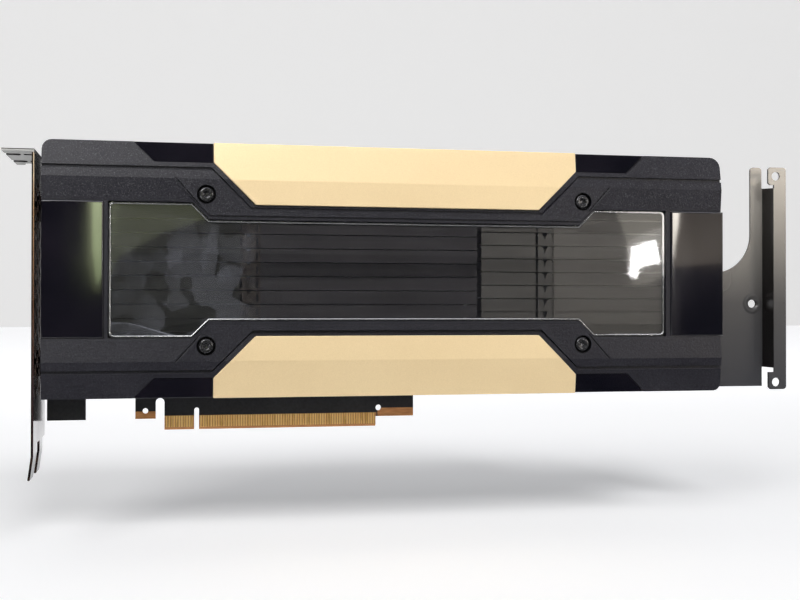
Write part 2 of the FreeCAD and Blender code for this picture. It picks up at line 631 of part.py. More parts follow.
# Two stacks of folded fins: each fin is a web with a cap towards the window
STACKS = (("fin_stack_front", "base_left", "fins_a_right-base_left", "fin_low_a", "fin_pitch_a", 17),
          ("fin_stack_rear", "fins_b_left", "base_right-fins_b_left", "fin_low_b", "fin_pitch_b", 16))
for name, left, length, low, pitch, count in STACKS:
    b = body(name, x=left, y="base_front")
    pad(b, sketch(b, "YZ_Plane", [rect("0-fin_gauge", "base_low", 0, "base_high")]), length)
    z0 = low + "+fin_gap/2"
    zt = low + "+" + pitch + "-fin_gap/2"
    cap = "front_inner-base_front"
    fold = [("0-fin_gauge/2", z0), (cap, z0), (cap, zt), (cap + "+fin_gauge", zt),
            (cap + "+fin_gauge", z0 + "+fin_gauge"), ("0-fin_gauge/2", z0 + "+fin_gauge")]
    first = pad(b, sketch(b, "YZ_Plane", [fold]), length)
    pattern(b, [first], "Z_Axis", pitch, count)
    if name.endswith("front"):
        marks = [rect(48.7, z0 + "+0.7", 49.5, zt + "-1.3"),
                 rect(54.7, z0 + "+0.7", 55.5, zt + "-1.3"),
                 rect(51.3, zt + "-1.1", 52.7, zt + "+0.02")]
        f = pocket(b, sketch(b, "XZ_Plane", marks, offset="base_front-front_inner+1"),
                   "1.05+fin_gauge")
        pattern(b, [f], "Z_Axis", pitch, count)
    else:
        marks = [[(25.0, zt + "+0.02"), (27.2, zt + "+0.02"), (26.1, zt + "-2.6")]]
        f = pocket(b, sketch(b, "XZ_Plane", marks, offset="base_front-front_inner+1"),
                   "1.05+fin_gauge")
        pattern(b, [f], "Z_Axis", pitch, count)
        slits = [rect(22.2, 0, 23.2, 130), rect(28.9, 0, 29.9, 130)]
        pocket(b, sketch(b, "XZ_Plane", slits, offset="base_front-front_inner+1"),
               "1.05+fin_gauge")
    side = "-" if name.endswith("front") else "+"
    wells = []
    for s in "+-":
        cx, cz = "mid_x%sscrew_x-%s" % (side, left.replace("-", "+")), "mid_z%sscrew_z" % s
        wells.append(rect(cx + "-3.8", cz + "-3.8", cx + "+3.8", cz + "+3.8"))
    pocket(b, sketch(b, "XZ_Plane", wells, offset=-1), 60, mid=True)
    NODES.append(b)

# Processor package on the board: substrate, die, memory stacks, stiffener
b = body("processor_substrate", y="0-board_thick/2")
pad(b, sketch(b, "XZ_Plane", [rect("gpu_x-substrate/2", "gpu_z-substrate/2",
    "gpu_x+substrate/2", "gpu_z+substrate/2")]), "substrate_thick")
NODES.append(b)
b = body("processor_die", y="0-board_thick/2-substrate_thick")
pad(b, sketch(b, "XZ_Plane", [rect("gpu_x-12", "gpu_z-14", "gpu_x+12", "gpu_z+14")]), "die_thick")
NODES.append(b)
b = body("memory_stacks", y="0-board_thick/2-substrate_thick")
pad(b, sketch(b, "XZ_Plane", [rect("gpu_x%s" % a, "gpu_z%s" % c, "gpu_x%s" % d, "gpu_z%s" % e)
    for a, d in (("-20.5", "-12.7"), ("+12.7", "+20.5")) for c, e in (("-13", "-1"), ("+1", "+13"))]),
    "die_thick")
NODES.append(b)
b = body("processor_stiffener", y="0-board_thick/2-substrate_thick")
pad(b, sketch(b, "XZ_Plane", [rect("gpu_x-substrate/2+0.5", "gpu_z-substrate/2+0.5",
    "gpu_x+substrate/2-0.5", "gpu_z+substrate/2-0.5"),
    rect("gpu_x-21.5", "gpu_z-21.5", "gpu_x+21.5", "gpu_z+21.5")]), 0.6)
NODES.append(b)

# Power parts of the board
CHOKES = [(22.0, 26.0 + 13.5 * i) for i in range(6)] + [(124.0, 26.0 + 13.5 * i) for i in range(6)]
b = body("inductors", y="0-board_thick/2")
pad(b, sketch(b, "XZ_Plane", [rect(x - 4.5, z - 4.5, x + 4.5, z + 4.5) for x, z in CHOKES]), 4.9)
NODES.append(b)
b = body("thermal_pads", y="0-board_thick/2-4.9")
pad(b, sketch(b, "XZ_Plane", [rect(x - 4.5, z - 4.5, x + 4.5, z + 4.5) for x, z in CHOKES]),
    "0-base_rear-board_thick/2-4.9")
NODES.append(b)
b = body("power_stages", y="0-board_thick/2")
pad(b, sketch(b, "XZ_Plane", [rect(x + 8 * t - 3, z - 3, x + 8 * t + 3, z + 3)
    for x, z in CHOKES for t in ((1,) if x < 60 else (-1,))]), 0.9)
NODES.append(b)
b = body("capacitors", y="0-board_thick/2")
pad(b, sketch(b, "XZ_Plane", [rect(x - 2.15, 24.4 + 13.0 * i, x + 2.15, 31.7 + 13.0 * i)
    for x in (8.0, 138.0) for i in range(6)]), 3.1)
NODES.append(b)
b = body("power_connector")
pad(b, sketch(b, "XZ_Plane", [rect(189.0, 84.5, 206.5, 103.1)], offset="board_thick/2"), 10.5)
cells = [rect(-2.0 - 4.2 * j - 3.4, 85.5 + 4.3 * i, -2.0 - 4.2 * j, 85.5 + 4.3 * i + 3.7)
         for i in range(4) for j in range(2)]
pocket(b, sketch(b, "YZ_Plane", cells, offset=210.0), 17.5)
NODES.append(b)
b = body("power_pins")
pad(b, sketch(b, "YZ_Plane", [rect(-2.0 - 4.2 * j - 2.2, 85.5 + 4.3 * i + 1.35,
    -2.0 - 4.2 * j - 1.2, 85.5 + 4.3 * i + 2.35) for i in range(4) for j in range(2)],
    offset=192.5), 9.0)
NODES.append(b)

# Plate behind the board, with an opening round the spring plate
b = body("backplate", y="plate_gap+plate_gauge")
pad(b, sketch(b, "XZ_Plane", [rect("rear_left", "rear_low", "rear_right", "rear_high"),
    rect("gpu_x-37", "gpu_z-37", "gpu_x+37", "gpu_z+37")]), "plate_gauge")
pad(b, sketch(b, "XZ_Plane", [rect(x - 3.2, z - 3.2, x + 3.2, z + 3.2) for x, z in BOSSES],
    offset="plate_gauge/2"), "plate_gap+plate_gauge/2-board_thick/2")
pocket(b, sketch(b, "XZ_Plane", [sided(x, z, 1.4) for x, z in BOSSES], offset=-1), 20, mid=True)
NODES.append(b)
b = body("spring_plate", y="board_thick/2+1")
cross = [(-34, -27), (-27, -34), (-8, -15), (8, -15), (27, -34), (34, -27), (15, -8), (15, 8),
         (34, 27), (27, 34), (8, 15), (-8, 15), (-27, 34), (-34, 27), (-15, 8), (-15, -8)]
pad(b, sketch(b, "XZ_Plane", [[("gpu_x%+g" % a, "gpu_z%+g" % c) for a, c in cross]]), 1.0)
pocket(b, sketch(b, "XZ_Plane", [sided(x, z, 1.4) for x, z in SPRINGS], offset=-1), 20, mid=True)
NODES.append(b)
group("spring_screws", [hidden_screw("spring_screw_%d" % i, x, "board_thick/2+1", z, 2.6, 1.6, 1.25, 6.0)
                        for i, (x, z) in enumerate(SPRINGS)])
group("backplate_screws", [hidden_screw("backplate_screw_%d" % i, x, "plate_gap+plate_gauge", z,
                                        2.4, 1.0, 1.25, 6.7) for i, (x, z) in enumerate(BOSSES)])

# Tail bracket: arm behind the board, upright, step and flange with two ears
b = body("tail_blank", y="board_thick/2+arm_gauge")
arm = [("arm_left", "arm_low"), ("upright_right", "arm_low"), ("upright_right", "flange_low"),
       ("step_left+arm_gauge", "flange_low"), ("step_left+arm_gauge", "flange_high+step_rise"),
       ("upright_right", "flange_high+step_rise"), ("upright_right", "arm_high"),
       ("upright_left", "arm_high"), ("upright_left", "arm_ledge+arc_radius"),
       ("arc_centre_x", "arm_ledge+arc_radius"), ("arc_centre_x", "arm_ledge"),
       ("arm_left", "arm_ledge")]
pad(b, sketch(b, "XZ_Plane", [arm]), "arm_gauge")
pocket(b, sketch(b, "XZ_Plane", circles=[("arc_centre_x", "arm_ledge+arc_radius", "arc_radius")],
       offset=-1), 10, mid=True)
wall = [(0, "flange_low"), (0, "flange_high+step_rise"),
        ("flange_front-board_thick/2-arm_gauge", "flange_high"),
        ("flange_front-board_thick/2-arm_gauge", "flange_low")]
pad(b, sketch(b, "YZ_Plane", [wall], offset="step_left"), "arm_gauge")
flange = [("ear_left+0.9", "ear_high"), ("ear_left", "ear_high-0.9"), ("ear_left", "flange_high+2.2"),
          ("ear_left+0.9", "flange_high+1.3"), ("step_left+0.3", "flange_high+1.3"),
          ("step_left+0.3", "flange_high"), ("step_left", "flange_high"), ("step_left", "flange_low"),
          ("step_left+0.3", "flange_low"), ("step_left+0.3", "flange_low-1.8"),
          ("ear_left", "flange_low-1.8"), ("ear_left", "ear_low+0.9"), ("ear_left+0.9", "ear_low"),
          ("flange_right", "ear_low"),
          ("flange_right", "ear_high")]
pad(b, sketch(b, "XZ_Plane", [flange], offset="board_thick/2+arm_gauge-flange_front"),
    "arm_gauge", back=True)
pocket(b, sketch(b, "XZ_Plane", circles=[("ear_hole_x", "ear_hole_low", "ear_hole"),
       ("ear_hole_x", "ear_hole_high", "ear_hole")], offset="board_thick/2+arm_gauge-flange_front+1"),
       "arm_gauge+2")
pocket(b, sketch(b, "XZ_Plane", circles=[("upright_right-4.6", "arm_ledge-13.7", 1.75)],
       offset=-1), 60, mid=True)
pocket(b, sketch(b, "XZ_Plane", [sided(x, z, 1.3) for x, z in TAIL], offset=-1), 60, mid=True)
doc.recompute()
ends = [("flange_right", "ear_high"), ("flange_right", "ear_low"), ("upright_left", "arm_high"), ("upright_right", "arm_high"),
        ("arm_left", "arm_ledge")]
names = []
flat = b.Tip
for i, e in enumerate(flat.Shape.Edges):
    pts = [v.Point for v in e.Vertexes]
    if len(pts) == 2 and abs(pts[0].x - pts[1].x) < 1e-6 and abs(pts[0].z - pts[1].z) < 1e-6:
        if any(near(pts[0].x, a) and near(pts[0].z, c) for a, c in ends):
            names.append("Edge%d" % (i + 1))
f = b.newObject("PartDesign::Fillet", "tail_blank_fillet")
f.Base = (flat, names)
f.Radius = 1.5
cone = doc.addObject("Part::Cone", "tail_dimple")
cone.Radius1, cone.Radius2, cone.Height = 1.75, 3.7, 0.4
cone.Placement = Placement(Vector(val("upright_right-4.6"), NUM["board_thick"] / 2 + 0.4, val("arm_ledge-13.7")),
                           Rotation(Vector(1, 0, 0), 90))
NODES.append(cut("tail_bracket", b, [cone]))
group("tail_screws", [hidden_screw("tail_screw_%d" % i, x, "0-board_thick/2", z, 2.4, 1.3, 1.25,
                                   NUM["board_thick"] + NUM["arm_gauge"], front=True)
                      for i, (x, z) in enumerate(TAIL)])
group("bracket_screws", [hidden_screw("bracket_screw_%d" % i, x, "board_thick/2", z, 2.4, 1.3, 1.25,
                                      NUM["board_thick"] + NUM["bracket_gauge"])
                         for i, (x, z) in enumerate(EARS)])

doc.recompute()
bad = [o.Name for o in doc.Objects if "Invalid" in o.State or "Error" in o.State]
if bad:
    raise RuntimeError("failed objects: " + ", ".join(bad))
for node in NODES:
    shape = node.Shape
    if shape.isNull() or not shape.isValid() or shape.Volume <= 0:
        raise RuntimeError("bad shape: " + node.Label)
os.makedirs("parts", exist_ok=True)
for node in NODES:
    node.Shape.exportStep("parts/%s.step" % node.Label)
    print(node.Label, len(node.Shape.Solids), round(node.Shape.Volume, 1))
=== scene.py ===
import json
import math

import bmesh
import bpy
import numpy as np
from mathutils import Matrix, Vector


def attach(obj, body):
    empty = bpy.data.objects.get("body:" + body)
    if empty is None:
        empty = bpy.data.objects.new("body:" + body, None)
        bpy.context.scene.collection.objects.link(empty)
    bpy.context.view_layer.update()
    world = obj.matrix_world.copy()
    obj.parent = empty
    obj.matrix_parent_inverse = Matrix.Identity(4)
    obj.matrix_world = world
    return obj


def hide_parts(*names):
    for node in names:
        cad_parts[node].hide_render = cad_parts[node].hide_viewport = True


# Passive dual-slot accelerator card, dressed over its CAD solids.
# +X slot bracket to tail, -Y the shroud side, +Z up. Materials, cards and camera
# are in metres, and the surfaces are worked out in millimetres.

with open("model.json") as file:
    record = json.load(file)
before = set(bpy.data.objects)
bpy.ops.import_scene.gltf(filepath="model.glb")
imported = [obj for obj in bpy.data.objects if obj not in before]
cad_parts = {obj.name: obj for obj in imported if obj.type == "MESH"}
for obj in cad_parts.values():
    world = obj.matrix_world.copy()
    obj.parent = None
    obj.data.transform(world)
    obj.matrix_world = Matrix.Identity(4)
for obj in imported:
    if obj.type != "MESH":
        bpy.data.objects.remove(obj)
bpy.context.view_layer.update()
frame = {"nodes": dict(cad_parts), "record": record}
scene = bpy.context.scene

MM = 0.001
MERGE = 1e-6                          # points nearer than this are one, in metres
MID_X, MID_Z = 76.4, 62.5             # the card's middle
SEAT_X, SEAT_Z = 73.7, 28.25          # the shroud's screws, from the middle
WINDOW_X, WINDOW_Z = 109.3, 25.3      # the window's half length and half height
WINDOW_FRONT = -32.4
BOARD_REAR = 0.785                    # where the brackets lie against the board
FOLD_PITCH = 5.3                      # from one fold of the fins to the next
FLOOR = -0.044                        # the table under the card, in metres

PLAIN_TINT = (1.0, 1.0, 1.0)
# Near black of painted shade.
PAINTED_SHADE_BLACK = (0.0015, 0.0015, 0.002)


# Materials

class Finish:
    """One node material: a Principled shader and short calls for its pattern nodes.

    rough and metal are the plain values, which most patterns then vary."""

    def __init__(self, name, rough, metal=0.0, **sockets):
        self.mat = bpy.data.materials.new(name)
        self.mat.use_nodes = True
        self.nodes, self.links = self.mat.node_tree.nodes, self.mat.node_tree.links
        self.shader = self.nodes["Principled BSDF"]
        self.shader.inputs["Roughness"].default_value = rough
        self.shader.inputs["Metallic"].default_value = metal
        for key, value in sockets.items():
            self.shader.inputs[key.replace("_", " ")].default_value = value
        self.where = self.nodes.new("ShaderNodeTexCoord").outputs["Object"]
        self.place = self.normal = None

    def link(self, a, b):
        self.links.new(a, b)

    def put(self, socket, source):
        self.links.new(source, self.shader.inputs[socket])

    def surface(self, shader):
        self.links.new(shader, self.nodes["Material Output"].inputs["Surface"])

    def stretch(self, scale=(1, 1, 1), turn=(0, 0, 0)):
        """Object coordinates scaled, and turned in degrees, for a directed pattern."""
        n = self.nodes.new("ShaderNodeMapping")
        n.inputs["Scale"].default_value = scale
        n.inputs["Rotation"].default_value = [math.radians(t) for t in turn]
        self.link(self.where, n.inputs["Vector"])
        return n.outputs["Vector"]

    def axis(self, name):
        """Object coordinate along X, Y or Z, in metres."""
        if self.place is None:
            self.place = self.nodes.new("ShaderNodeSeparateXYZ")
            self.link(self.where, self.place.inputs[0])
        return self.place.outputs[name]

    def facing(self, name):
        """How far the surface's normal points along X, Y or Z, from -1 to 1."""
        if self.normal is None:
            self.normal = self.nodes.new("ShaderNodeSeparateXYZ")
            geometry = self.nodes.new("ShaderNodeNewGeometry")
            self.link(geometry.outputs["Normal"], self.normal.inputs[0])
        return self.normal.outputs[name]

    def noise(self, scale, detail=3.0, rough=0.5, where=None, warp=0.0):
        """Cloudy noise between 0 and 1, on object or stretched coordinates."""
        n = self.nodes.new("ShaderNodeTexNoise")
        n.inputs["Scale"].default_value = scale
        n.inputs["Detail"].default_value = detail
        n.inputs["Roughness"].default_value = rough
        n.inputs["Distortion"].default_value = warp
        self.link(where or self.where, n.inputs["Vector"])
        return n.outputs["Fac"]

    def cells(self, scale):
        """Distance from the nearest of many scattered points."""
        n = self.nodes.new("ShaderNodeTexVoronoi")
        n.inputs["Scale"].default_value = scale
        self.link(self.where, n.inputs["Vector"])
        return n.outputs["Distance"]

    def shards(self, scale, wander, ripple):
        """A level of its own for each of many angular cells whose edges wander."""
        drift = self.nodes.new("ShaderNodeTexNoise")
        drift.inputs["Scale"].default_value = ripple
        self.link(self.where, drift.inputs["Vector"])
        shift = self.nodes.new("ShaderNodeVectorMath")
        shift.operation = "MULTIPLY_ADD"
        self.link(drift.outputs["Color"], shift.inputs[0])
        shift.inputs[1].default_value = (wander, wander, wander)
        self.link(self.where, shift.inputs[2])
        n = self.nodes.new("ShaderNodeTexVoronoi")
        n.inputs["Scale"].default_value = scale
        self.link(shift.outputs[0], n.inputs["Vector"])
        level = self.nodes.new("ShaderNodeSeparateColor")
        self.link(n.outputs["Color"], level.inputs[0])
        return level.outputs[0]

    def calc(self, op, a, b=None, clamp=False):
        """One step of arithmetic on sources or plain numbers."""
        n = self.nodes.new("ShaderNodeMath")
        n.operation = op
        n.use_clamp = clamp
        for socket, v in zip(n.inputs, (a, b)):
            if isinstance(v, (int, float)):
                socket.default_value = v
            elif v is not None:
                self.link(v, socket)
        return n.outputs[0]

    def add(self, a, b):
        return self.calc("ADD", a, b)

    def less(self, a, b):
        return self.calc("SUBTRACT", a, b)

    def size(self, a):
        return self.calc("ABSOLUTE", a)

    def most(self, a, b):
        return self.calc("MAXIMUM", a, b)

    def times(self, first, *others):
        for other in others:
            first = self.calc("MULTIPLY", first, other)
        return first

    def weighed(self, first, *others):
        """Sum of (source, share) pairs, each source times its share."""
        total = self.times(*first)
        for other in others:
            total = self.add(total, self.times(*other))
        return total

    def span(self, source, low, high, to_low=0.0, to_high=1.0, smooth=False):
        """Value of a source between two levels, mapped to another range and held there."""
        n = self.nodes.new("ShaderNodeMapRange")
        n.interpolation_type = "SMOOTHSTEP" if smooth else "LINEAR"
        for i, v in enumerate((low, high, to_low, to_high)):
            n.inputs[i + 1].default_value = v
        self.link(source, n.inputs[0])
        return n.outputs[0]

    def ramp(self, source, *stops):
        """Colour of a source along (level, colour) stops."""
        n = self.nodes.new("ShaderNodeValToRGB")
        e = n.color_ramp.elements
        while len(e) < len(stops):
            e.new(0.5)
        for k, (at, colour) in zip(e, stops):
            k.position = at
            k.color = (*colour, 1)
        self.link(source, n.inputs[0])
        return n.outputs[0]

    def blend(self, fac, a, b):
        """Colour a where fac is 0 and colour b where it is 1."""
        n = self.nodes.new("ShaderNodeMix")
        n.data_type = "RGBA"
        for socket, v in ((n.inputs[0], fac), (n.inputs[6], a), (n.inputs[7], b)):
            if isinstance(v, tuple):
                socket.default_value = (*v, 1)
            else:
                self.link(v, socket)
        return n.outputs[2]

    def layered(self, fac, under, over):
        """Shader under where fac is 0 and shader over where it is 1."""
        n = self.nodes.new("ShaderNodeMixShader")
        for socket, source in zip(n.inputs, (fac, under, over)):
            self.link(source, socket)
        return n.outputs[0]

    def bump(self, height, depth, strength):
        """Fine relief from a height between 0 and 1, over a depth in metres."""
        n = self.nodes.new("ShaderNodeBump")
        n.inputs["Strength"].default_value = strength
        n.inputs["Distance"].default_value = depth
        self.link(height, n.inputs["Height"])
        self.put("Normal", n.outputs[0])

    def worn(self, source, low, high):
        """Roughness that follows the middle of a noise from low to high."""
        self.put("Roughness", self.span(source, 0.35, 0.65, low, high))


def moulded_shroud():
    """Black moulded plastic with a fine spark-eroded grain, and painted highlight specks
    for its glints, which fade low down as painted shade.

    u and v are the distances from the card's two middle planes. A thin sunk line
    runs where 0.746 u - 0.666 v is 40.6 mm, along the lugs' slanted edges, darkened as
    painted shade, and the screws' seats are painted deep black out to about 3.5 mm
    from their axes as painted shade in the recesses."""
    f = Finish("moulded_shroud", 0.42, Specular_IOR_Level=0.42)
    grain, broad = f.noise(1450, 2.0, 0.65), f.noise(28, 4.0)
    tone = f.weighed((grain, 0.82), (broad, 0.18))
    skin = f.ramp(tone, (0.34, (0.0042, 0.0041, 0.0070)), (0.66, (0.0150, 0.0145, 0.0205)))
    # Painted highlight: light specks for the grain's sparkle, fewer low down as painted shade.
    painted_glint = f.times(f.span(f.noise(2600, 1.0), 0.57, 0.72),
                    f.span(f.axis("Z"), 0.030, 0.075, 0.3, 1.0))
    u = f.size(f.add(f.axis("X"), -MID_X * MM))
    v = f.size(f.add(f.axis("Z"), -MID_Z * MM))
    lean = f.add(f.less(f.times(u, 0.746), f.times(v, 0.666)), -0.0406)
    # Painted shade: the sunk line along the lugs' edges is darkened to near black.
    crease = f.times(f.span(f.size(lean), 0.00014, 0.00038, 0.95, 0.0),
                     f.span(v, 0.0241, 0.0245), f.span(v, 0.0345, 0.0335))
    # Painted shade: the screws' recesses are darkened to near black out to about 3.5 mm.
    across, above = f.add(u, -SEAT_X * MM), f.add(v, -SEAT_Z * MM)
    away = f.add(f.times(across, across), f.times(above, above))
    seat_shade = f.span(away, 1.32e-5, 1.20e-5)
    skin = f.blend(painted_glint, f.blend(crease, skin, PAINTED_SHADE_BLACK), (0.056, 0.055, 0.063))
    f.put("Base Color", f.blend(seat_shade, skin, PAINTED_SHADE_BLACK))
    # Painted shade also takes the gloss out of the seats and the sunk line.
    f.put("Specular Tint", f.blend(f.most(seat_shade, crease), PLAIN_TINT, (0.28, 0.28, 0.28)))
    f.worn(broad, 0.39, 0.45)
    height = f.add(grain, f.times(f.cells(1100), 0.5))
    f.bump(f.less(height, f.times(crease, 2.0)), 0.00012, 0.6)
    return f.mat


def gold_anodised():
    """Bead-blasted, gold-dyed aluminium: a fine speckle and a faint drift of tone."""
    f = Finish("gold_anodised", 0.38, metal=0.45, Coat_Weight=0.65, Coat_Roughness=0.4)
    grain = f.noise(2200, 2.0, 0.7)
    drift = f.noise(14, 3.0, where=f.stretch((1, 1, 2.2)))
    tone = f.weighed((grain, 0.6), (drift, 0.4))
    f.put("Base Color", f.ramp(tone, (0.3, (0.755, 0.575, 0.325)), (0.7, (0.85, 0.67, 0.40))))
    f.worn(grain, 0.38, 0.5)
    f.bump(grain, 0.00003, 0.5)
    return f.mat


def gloss_inlay():
    """Piano-black plastic with a very slow waviness and faint wipe marks."""
    f = Finish("gloss_inlay", 0.06, Specular_IOR_Level=0.55,
               Coat_Weight=0.6, Coat_Roughness=0.03)
    wipe = f.noise(60, 4.0, where=f.stretch((1, 1, 0.25), (0, 20, 0)))
    f.put("Base Color", f.ramp(f.noise(35, 2.0),
                               (0.3, (0.003, 0.003, 0.005)), (0.7, (0.007, 0.006, 0.009))))
    f.worn(wipe, 0.03, 0.09)
    f.bump(f.noise(22, 1.0), 0.0004, 0.12)
    return f.mat


def clear_window():
    """Clear sheet, mirror-like by Fresnel, with a thin torn film near its left end.

    The film is haze in two sizes of angular patch, thinner towards its borders.
    Its lower edge lifts along a line that falls from left to right, with a little
    more haze below the line."""
    f = Finish("clear_window", 0.55, Specular_IOR_Level=0.0)
    f.put("Base Color", f.ramp(f.noise(40, 2.0),
                               (0.3, (0.27, 0.28, 0.33)), (0.7, (0.36, 0.37, 0.42))))
    f.worn(f.noise(90, 2.0), 0.45, 0.65)
    f.bump(f.noise(70, 1.0), 0.00003, 0.2)
    x, z = f.axis("X"), f.axis("Z")
    torn = f.add(f.span(f.shards(105, 0.006, 130), 0.50, 0.52, 0.0, 0.07),
                 f.span(f.shards(170, 0.003, 260), 0.62, 0.64, 0.0, 0.045))
    lift = f.less(z, f.span(x, -0.0293, -0.0035, 0.0429, 0.0376, smooth=True))
    edge = f.add(f.span(f.size(lift), 0.00010, 0.00035, 0.24, 0.0),
                 f.span(lift, -0.0002, 0.0, 0.07, 0.0))
    torn = f.add(torn, f.times(edge, f.span(x, -0.008, -0.002, 1.6, 0.0)))
    spread = f.times(f.span(x, -0.024, -0.006, 0.35, 1.0, smooth=True),
                     f.span(x, 0.026, 0.013, 0.0, 1.0, smooth=True),
                     f.span(z, 0.084, 0.070, 0.15, 1.0, smooth=True))
    dust = f.span(f.noise(35, 3.0), 0.3, 0.7, 0.006, 0.014)
    clear = f.nodes.new("ShaderNodeBsdfTransparent")
    clear.inputs["Color"].default_value = (0.93, 0.935, 0.93, 1)
    mirror = f.nodes.new("ShaderNodeBsdfGlossy")
    mirror.inputs["Roughness"].default_value = 0.03
    fresnel = f.nodes.new("ShaderNodeFresnel")
    fresnel.inputs["IOR"].default_value = 1.54
    sheet = f.layered(f.add(f.times(torn, spread), dust), clear.outputs[0], f.shader.outputs[0])
    f.surface(f.layered(fresnel.outputs[0], sheet, mirror.outputs[0]))
    return f.mat


def fin_metal():
    """Dark, thin fin stock: each fold has its own shade, with streaks along it.

    The folds are greyer under the film at the left and lighter in the rear stack,
    and a narrow brown strip crosses the front stack."""
    f = Finish("fin_metal", 0.42, metal=0.35)
    x = f.axis("X")
    fold = f.nodes.new("ShaderNodeTexWhiteNoise")
    fold.noise_dimensions = "1D"
    f.link(f.calc("FLOOR", f.calc("DIVIDE", f.axis("Z"), FOLD_PITCH * MM)), fold.inputs["W"])
    streak = f.noise(500, 3.0, where=f.stretch((0.04, 1, 1)))
    patch = f.noise(60, 3.0, warp=0.6)
    tone = f.weighed((fold.outputs["Value"], 0.28), (streak, 0.45), (patch, 0.27))
    middle = f.ramp(tone, (0.25, (0.030, 0.027, 0.031)), (0.75, (0.070, 0.064, 0.069)))
    rear = f.ramp(tone, (0.25, (0.070, 0.065, 0.061)), (0.75, (0.135, 0.125, 0.117)))
    left = f.ramp(tone, (0.25, (0.022, 0.0215, 0.020)), (0.75, (0.046, 0.045, 0.042)))
    strip = f.ramp(f.noise(420, 3.0),
                   (0.35, (0.026, 0.021, 0.020)), (0.65, (0.066, 0.053, 0.047)))
    stock = f.blend(f.span(x, 0.0200, 0.0140), middle, left)
    stock = f.blend(f.span(x, 0.1080, 0.1088), stock, rear)
    weld = f.times(f.span(x, 0.0152, 0.0156), f.span(x, 0.0232, 0.0228))
    f.put("Base Color", f.blend(weld, stock, strip))
    f.worn(streak, 0.36, 0.5)
    f.bump(streak, 0.00004, 0.4)
    return f.mat


def cooler_metal():
    """Milled metal of the cooler's slab, with the cutter's lines along it."""
    f = Finish("cooler_metal", 0.4, metal=0.9)
    mill = f.noise(700, 3.0, where=f.stretch((1, 1, 0.03)))
    f.put("Base Color", f.ramp(mill, (0.3, (0.36, 0.36, 0.37)), (0.7, (0.52, 0.52, 0.53))))
    f.worn(mill, 0.32, 0.5)
    f.bump(mill, 0.00004, 0.4)
    return f.mat


def bracket_steel():
    """Bright nickel-plated sheet with rolling lines and dark sheared edges.

    The inner face is dimmed between its ends as painted shade and dark reflection of the
    shroud, and greyer at the tongues. The front edge carries a painted golden highlight,
    near black low down and paler upwards. The bent lip is dull, with slot walls painted
    almost black as painted shade, and a broken dark line along its front."""
    f = Finish("bracket_steel", 0.16, metal=1.0)
    roll = f.noise(900, 3.0, where=f.stretch((1, 1, 0.02)))
    haze = f.noise(55, 4.0)
    x, z = f.axis("X"), f.axis("Z")
    side = f.span(f.size(f.facing("X")), 0.55, 0.8)
    level = f.span(f.size(f.facing("Z")), 0.55, 0.8)
    inward = f.span(f.facing("X"), 0.5, 0.7)
    front = f.span(f.axis("Y"), -0.0344, -0.0346)
    lip = f.span(z, 0.1046, 0.1049)

    plated = f.ramp(haze, (0.3, (0.47, 0.465, 0.455)), (0.7, (0.58, 0.575, 0.56)))
    # Painted shade: the inner face beside the shroud is dimmed, for its shade and dark reflection
    # of the shroud.
    inner = f.times(inward, f.span(z, -0.004, 0.012), f.span(z, 0.104, 0.098))
    plated = f.blend(inner, plated, (0.085, 0.070, 0.080))
    tongue = f.times(inward, f.span(z, -0.004, -0.007))
    plated = f.blend(tongue, plated, (0.26, 0.255, 0.255))

    sheared = f.ramp(f.noise(500, 2.0),
                     (0.35, (0.010, 0.007, 0.007)), (0.65, (0.034, 0.021, 0.015)))
    # Painted highlight: a golden line down the front edge, near black low down and pale high up.
    edge_highlight_ramp = f.ramp(z, (0.020, (0.035, 0.020, 0.022)), (0.050, (0.12, 0.060, 0.036)),
                   (0.085, (0.30, 0.18, 0.10)), (0.100, (0.56, 0.45, 0.32)))
    edge_highlight = f.times(f.span(x, -0.05908, -0.05902), f.less(1.0, side), front)
    colour = f.blend(edge_highlight, f.blend(side, sheared, plated), edge_highlight_ramp)

    dull = f.ramp(haze, (0.3, (0.30, 0.30, 0.29)), (0.7, (0.37, 0.37, 0.355)))
    # Painted shade: the lip's slot walls are darkened almost to black.
    slot_shade = f.times(lip, f.span(x, -0.0598, -0.0601))
    colour = f.blend(slot_shade, colour, (0.006, 0.005, 0.005))
    colour = f.blend(f.times(f.most(level, front), lip), colour, dull)
    # A broken dark line along the lip's front.
    front_dark_line = f.times(front, f.span(z, 0.10560, 0.10568), f.span(f.noise(300), 0.42, 0.5, 0.4, 1.0))
    f.put("Base Color", f.blend(front_dark_line, colour, (0.03, 0.026, 0.022)))
    f.put("Metallic", f.span(side, 0.0, 1.0, 0.25, 1.0))
    f.put("Roughness", f.add(f.span(haze, 0.35, 0.65, 0.12, 0.26), f.times(lip, 0.3)))
    f.bump(roll, 0.00003, 0.3)
    return f.mat


